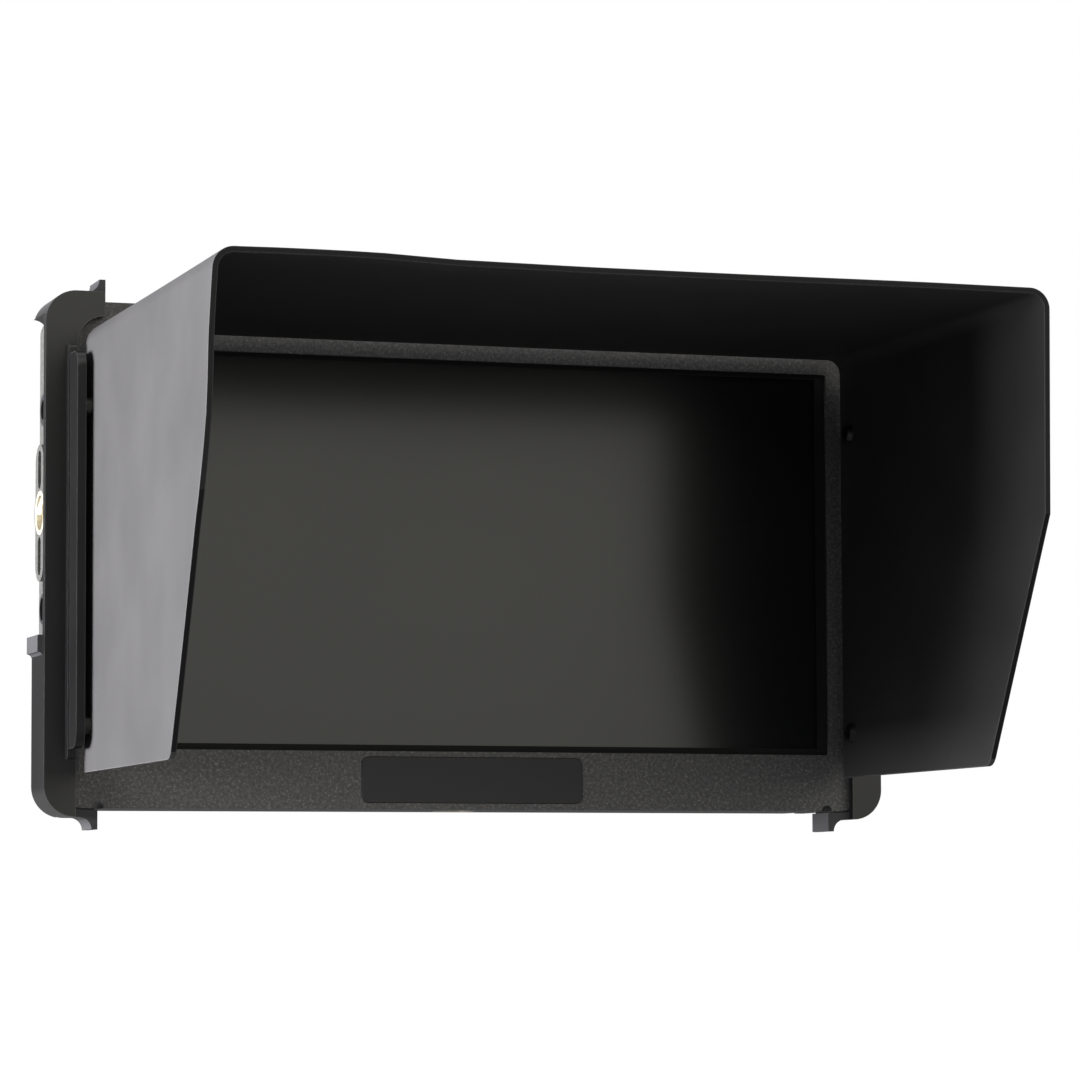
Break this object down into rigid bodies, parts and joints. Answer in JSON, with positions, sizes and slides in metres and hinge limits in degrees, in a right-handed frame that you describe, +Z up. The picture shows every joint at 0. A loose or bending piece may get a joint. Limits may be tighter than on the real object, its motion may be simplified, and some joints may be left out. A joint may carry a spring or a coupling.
{
  "type": "camera field monitor with sun hood",
  "caption": "Small camera-top field monitor with a bent-sheet sun hood on two clip-on side brackets, top keys and dial, battery plate and tripod sockets.",
  "frame": {"origin": "mouth of the tripod socket in the underside of the monitor", "axes": "+X to the right for a viewer facing the screen, the screen faces -Y, +Z up"},
  "size_m": [0.1626, 0.1205, 0.0988],
  "materials": {
    "powder_coat": "speckled matte powder coat",
    "housing": "matte",
    "screen_glass": "glossy",
    "panel": "dark display",
    "light_guide": "matte white",
    "steel": "satin",
    "plate": "satin black",
    "board": "solder resist",
    "bare_aluminium": "satin",
    "black_screw": "black oxide",
    "insert": "knurled",
    "pad": "black anodised",
    "jack_plastic": "matte",
    "socket_shell": "tinned",
    "key_plastic": "satin",
    "contact": "gold plated",
    "bracket": "satin moulded",
    "hood_sheet": "fine matte grain"
  },
  "bodies": {
    "monitor": {"front_bezel": "powder_coat", "rear_housing": "housing", "cover_glass": "screen_glass", "lcd_panel": "panel", "backlight": "light_guide", "panel_tray": "steel", "name_plate": "plate", "main_board": "board", "board_screws": "steel", "heat_spreader": "bare_aluminium", "key_board": "board", "housing_screws": "black_screw", "tripod_insert": "insert", "side_insert": "insert", "side_pad": "pad", "headphone_jack": "jack_plastic", "power_jack": "jack_plastic", "video_in_socket": "socket_shell", "video_out_socket": "socket_shell", "usb_socket": "socket_shell", "dial_frame": "steel", "battery_plate": "jack_plastic", "battery_screws": "black_screw", "battery_contacts": "contact"},
    "hood": {"left_bracket": "bracket", "right_bracket": "bracket", "sun_hood": "hood_sheet", "hood_screws": "black_screw", "hood_washers": "steel"},
    "power_button": {"power_button": "key_plastic"},
    "key_1": {"key_1": "key_plastic"},
    "key_2": {"key_2": "key_plastic"},
    "key_3": {"key_3": "key_plastic"},
    "key_4": {"key_4": "key_plastic"},
    "menu_dial": {"menu_dial": "key_plastic"},
    "battery_latch": {"battery_latch": "key_plastic"}
  },
  "joints": [
    {"name": "hood_pull", "type": "slide", "parent": "monitor", "child": "hood", "axis": [0, -1, 0], "range_m": [0, 0.03]},
    {"name": "power_press", "type": "slide", "parent": "monitor", "child": "power_button", "axis": [0, 0, -1], "range_m": [0, 0.0005], "stiffness_N_per_m": 600, "springref_m": -0.0008},
    {"name": "key_1_press", "type": "slide", "parent": "monitor", "child": "key_1", "axis": [0, 0, -1], "range_m": [0, 0.0005], "stiffness_N_per_m": 600, "springref_m": -0.0008},
    {"name": "key_2_press", "type": "slide", "parent": "monitor", "child": "key_2", "axis": [0, 0, -1], "range_m": [0, 0.0005], "stiffness_N_per_m": 600, "springref_m": -0.0008},
    {"name": "key_3_press", "type": "slide", "parent": "monitor", "child": "key_3", "axis": [0, 0, -1], "range_m": [0, 0.0005], "stiffness_N_per_m": 600, "springref_m": -0.0008},
    {"name": "key_4_press", "type": "slide", "parent": "monitor", "child": "key_4", "axis": [0, 0, -1], "range_m": [0, 0.0005], "stiffness_N_per_m": 600, "springref_m": -0.0008},
    {"name": "dial_turn", "type": "hinge", "parent": "monitor", "child": "menu_dial", "pos_m": [0.033, -0.0004, 0.0876], "axis": [0, 1, 0], "continuous": true},
    {"name": "latch_press", "type": "slide", "parent": "monitor", "child": "battery_latch", "axis": [0, -1, 0], "range_m": [0, 0.0016], "stiffness_N_per_m": 800, "springref_m": -0.001}
  ]
}
